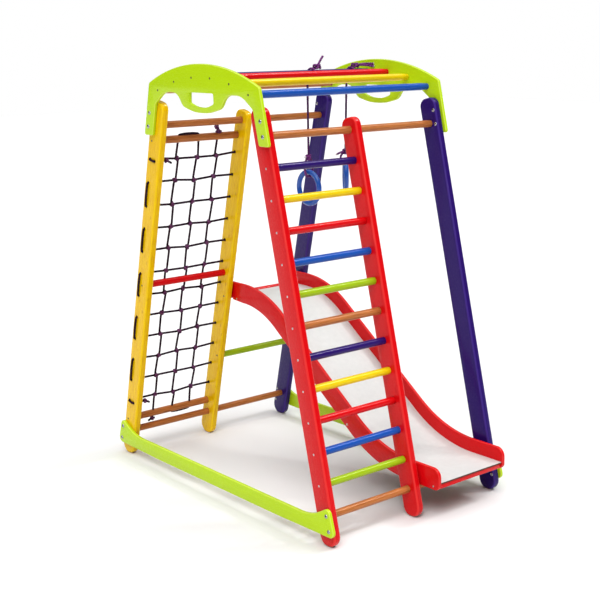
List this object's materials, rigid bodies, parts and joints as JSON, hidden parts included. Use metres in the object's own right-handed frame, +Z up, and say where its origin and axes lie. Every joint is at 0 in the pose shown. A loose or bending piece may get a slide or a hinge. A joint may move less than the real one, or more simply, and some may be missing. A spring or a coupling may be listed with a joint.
{
  "type": "kids indoor gym",
  "caption": "Indoor A-frame climbing gym for a toddler: rung ladder, rope climbing net, monkey-bar roof, hanging rings and a curved slide.",
  "frame": {"origin": "on the floor, under the middle of the whole object's box", "axes": "+X along the roof bars from the ladder and net bay to the slide bay, +Y from the ladder and slide's foot side to the net side, +Z up"},
  "size_m": [0.8156, 1.3662, 1.5345],
  "materials": {
    "red_lacquer": "red lacquer, semi-gloss, on wood",
    "yellow_lacquer": "yellow stain lacquer, semi-gloss, the grain shows through",
    "purple_lacquer": "purple lacquer, semi-gloss, on wood",
    "blue_lacquer": "blue lacquer, semi-gloss, on wood",
    "green_lacquer": "grass green lacquer, semi-gloss, on wood",
    "lime_lacquer": "lime green lacquer, satin, on plywood",
    "varnished_beech": "clear varnish on beech",
    "white_hardboard": "smooth white facing on hardboard",
    "plum_rope": "twisted rope, dark plum",
    "violet_rope": "twisted rope, purple",
    "blue_plastic": "glossy blue moulded plastic",
    "zinc_steel": "bright zinc-plated steel"
  },
  "bodies": {
    "frame": {"front_leg_near": "red_lacquer", "front_leg_inner": "red_lacquer", "front_leg_far": "purple_lacquer", "back_leg_near": "yellow_lacquer", "back_leg_inner": "yellow_lacquer", "back_leg_far": "purple_lacquer", "ladder_rung_01": "green_lacquer", "ladder_rung_02": "blue_lacquer", "ladder_rung_03": "red_lacquer", "ladder_rung_04": "yellow_lacquer", "ladder_rung_05": "purple_lacquer", "ladder_rung_06": "varnished_beech", "ladder_rung_07": "green_lacquer", "ladder_rung_08": "blue_lacquer", "ladder_rung_09": "red_lacquer", "ladder_rung_10": "yellow_lacquer", "ladder_rung_11": "purple_lacquer", "front_bottom_bar": "varnished_beech", "front_top_bar": "varnished_beech", "back_bottom_bar": "varnished_beech", "back_top_bar": "varnished_beech", "net_top_bar": "varnished_beech", "net_bottom_bar": "varnished_beech", "net_middle_rung": "red_lacquer", "rear_low_rung": "green_lacquer", "slide_hook_bar": "red_lacquer", "roof_bar_1": "blue_lacquer", "roof_bar_2": "yellow_lacquer", "roof_bar_3": "red_lacquer", "roof_bar_4": "purple_lacquer", "roof_bar_5": "green_lacquer", "roof_bar_6": "varnished_beech", "roof_plate_near": "lime_lacquer", "floor_brace_near": "lime_lacquer", "roof_plate_far": "lime_lacquer", "floor_brace_far": "lime_lacquer", "roof_bolt_near_front_1": "zinc_steel", "roof_bolt_near_front_2": "zinc_steel", "brace_bolt_near_front": "zinc_steel", "roof_bolt_near_back_1": "zinc_steel", "roof_bolt_near_back_2": "zinc_steel", "brace_bolt_near_back": "zinc_steel", "roof_bolt_far_front_1": "zinc_steel", "roof_bolt_far_front_2": "zinc_steel", "brace_bolt_far_front": "zinc_steel", "roof_bolt_far_back_1": "zinc_steel", "roof_bolt_far_back_2": "zinc_steel", "brace_bolt_far_back": "zinc_steel", "climbing_net": "plum_rope"},
    "slide": {"slide_rail_left": "red_lacquer", "slide_rail_right": "red_lacquer", "slide_sheet": "white_hardboard", "slide_batten_1": "red_lacquer", "slide_batten_2": "red_lacquer", "slide_batten_3": "red_lacquer", "slide_batten_4": "red_lacquer"},
    "near_rope": {"near_ring_rope": "violet_rope"},
    "near_ring_body": {"near_ring": "blue_plastic"},
    "far_rope": {"far_ring_rope": "violet_rope"},
    "far_ring_body": {"far_ring": "blue_plastic"}
  },
  "joints": [
    {"name": "slide_lift", "type": "hinge", "parent": "frame", "child": "slide", "pos_m": [0, 0.4836, 0.6036], "axis": [-1, 0, 0], "range_deg": [0, 45]},
    {"name": "near_rope_swing", "type": "hinge", "parent": "frame", "child": "near_rope", "pos_m": [0.0993, 0.0829, 1.4725], "axis": [1, 0, 0], "range_deg": [-45, 45]},
    {"name": "near_ring_rock", "type": "hinge", "parent": "near_rope", "child": "near_ring_body", "pos_m": [0.0993, 0.0829, 1.117], "axis": [0, 1, 0], "range_deg": [-35, 35]},
    {"name": "far_rope_swing", "type": "hinge", "parent": "frame", "child": "far_rope", "pos_m": [0.2783, 0.0829, 1.4725], "axis": [1, 0, 0], "range_deg": [-45, 45]},
    {"name": "far_ring_rock", "type": "hinge", "parent": "far_rope", "child": "far_ring_body", "pos_m": [0.2783, 0.0829, 1.1475], "axis": [0.6157, 0.788, 0], "range_deg": [-35, 35]}
  ]
}
